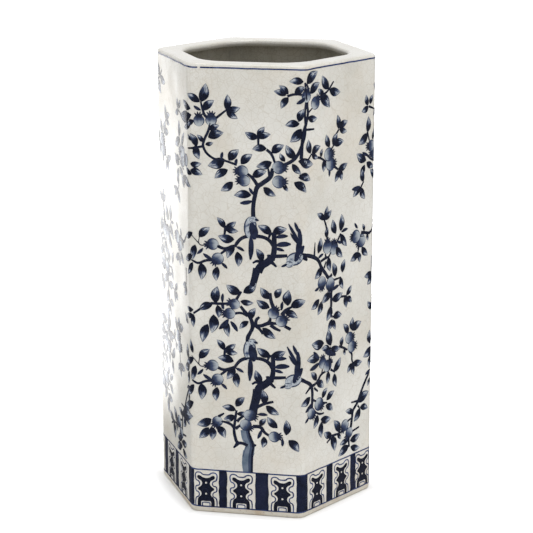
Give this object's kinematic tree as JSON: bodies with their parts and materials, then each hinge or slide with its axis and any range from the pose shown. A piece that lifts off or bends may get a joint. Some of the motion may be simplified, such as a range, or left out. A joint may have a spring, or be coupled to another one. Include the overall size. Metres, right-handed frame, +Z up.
{
  "type": "umbrella stand",
  "caption": "Tall hexagonal porcelain umbrella stand, open at the top through a round-cornered hexagonal mouth in a flat shoulder, standing on a low foot ring.",
  "frame": {"origin": "centre of the hexagonal foot ring's resting face, on the surface that the stand stands on", "axes": "+Z up along the stand's axis, -Y square out of the front wall, +X through the right-hand corner"},
  "size_m": [0.221, 0.194, 0.457],
  "materials": {
    "crackle_glaze": "gloss",
    "inside_glaze": "satin",
    "bare_clay": "matte",
    "cobalt_blue": "gloss"
  },
  "bodies": {
    "root": {"wall_front": "crackle_glaze", "wall_front_right": "crackle_glaze", "wall_back_right": "crackle_glaze", "wall_back": "crackle_glaze", "wall_back_left": "crackle_glaze", "wall_front_left": "crackle_glaze", "shoulder_slab": "crackle_glaze", "floor_slab": "inside_glaze", "floor_coil": "inside_glaze", "seam_coil_right": "inside_glaze", "seam_coil_back_right": "inside_glaze", "seam_coil_back_left": "inside_glaze", "seam_coil_left": "inside_glaze", "seam_coil_front_left": "inside_glaze", "seam_coil_front_right": "inside_glaze", "foot_ring": "bare_clay"}
  },
  "joints": []
}
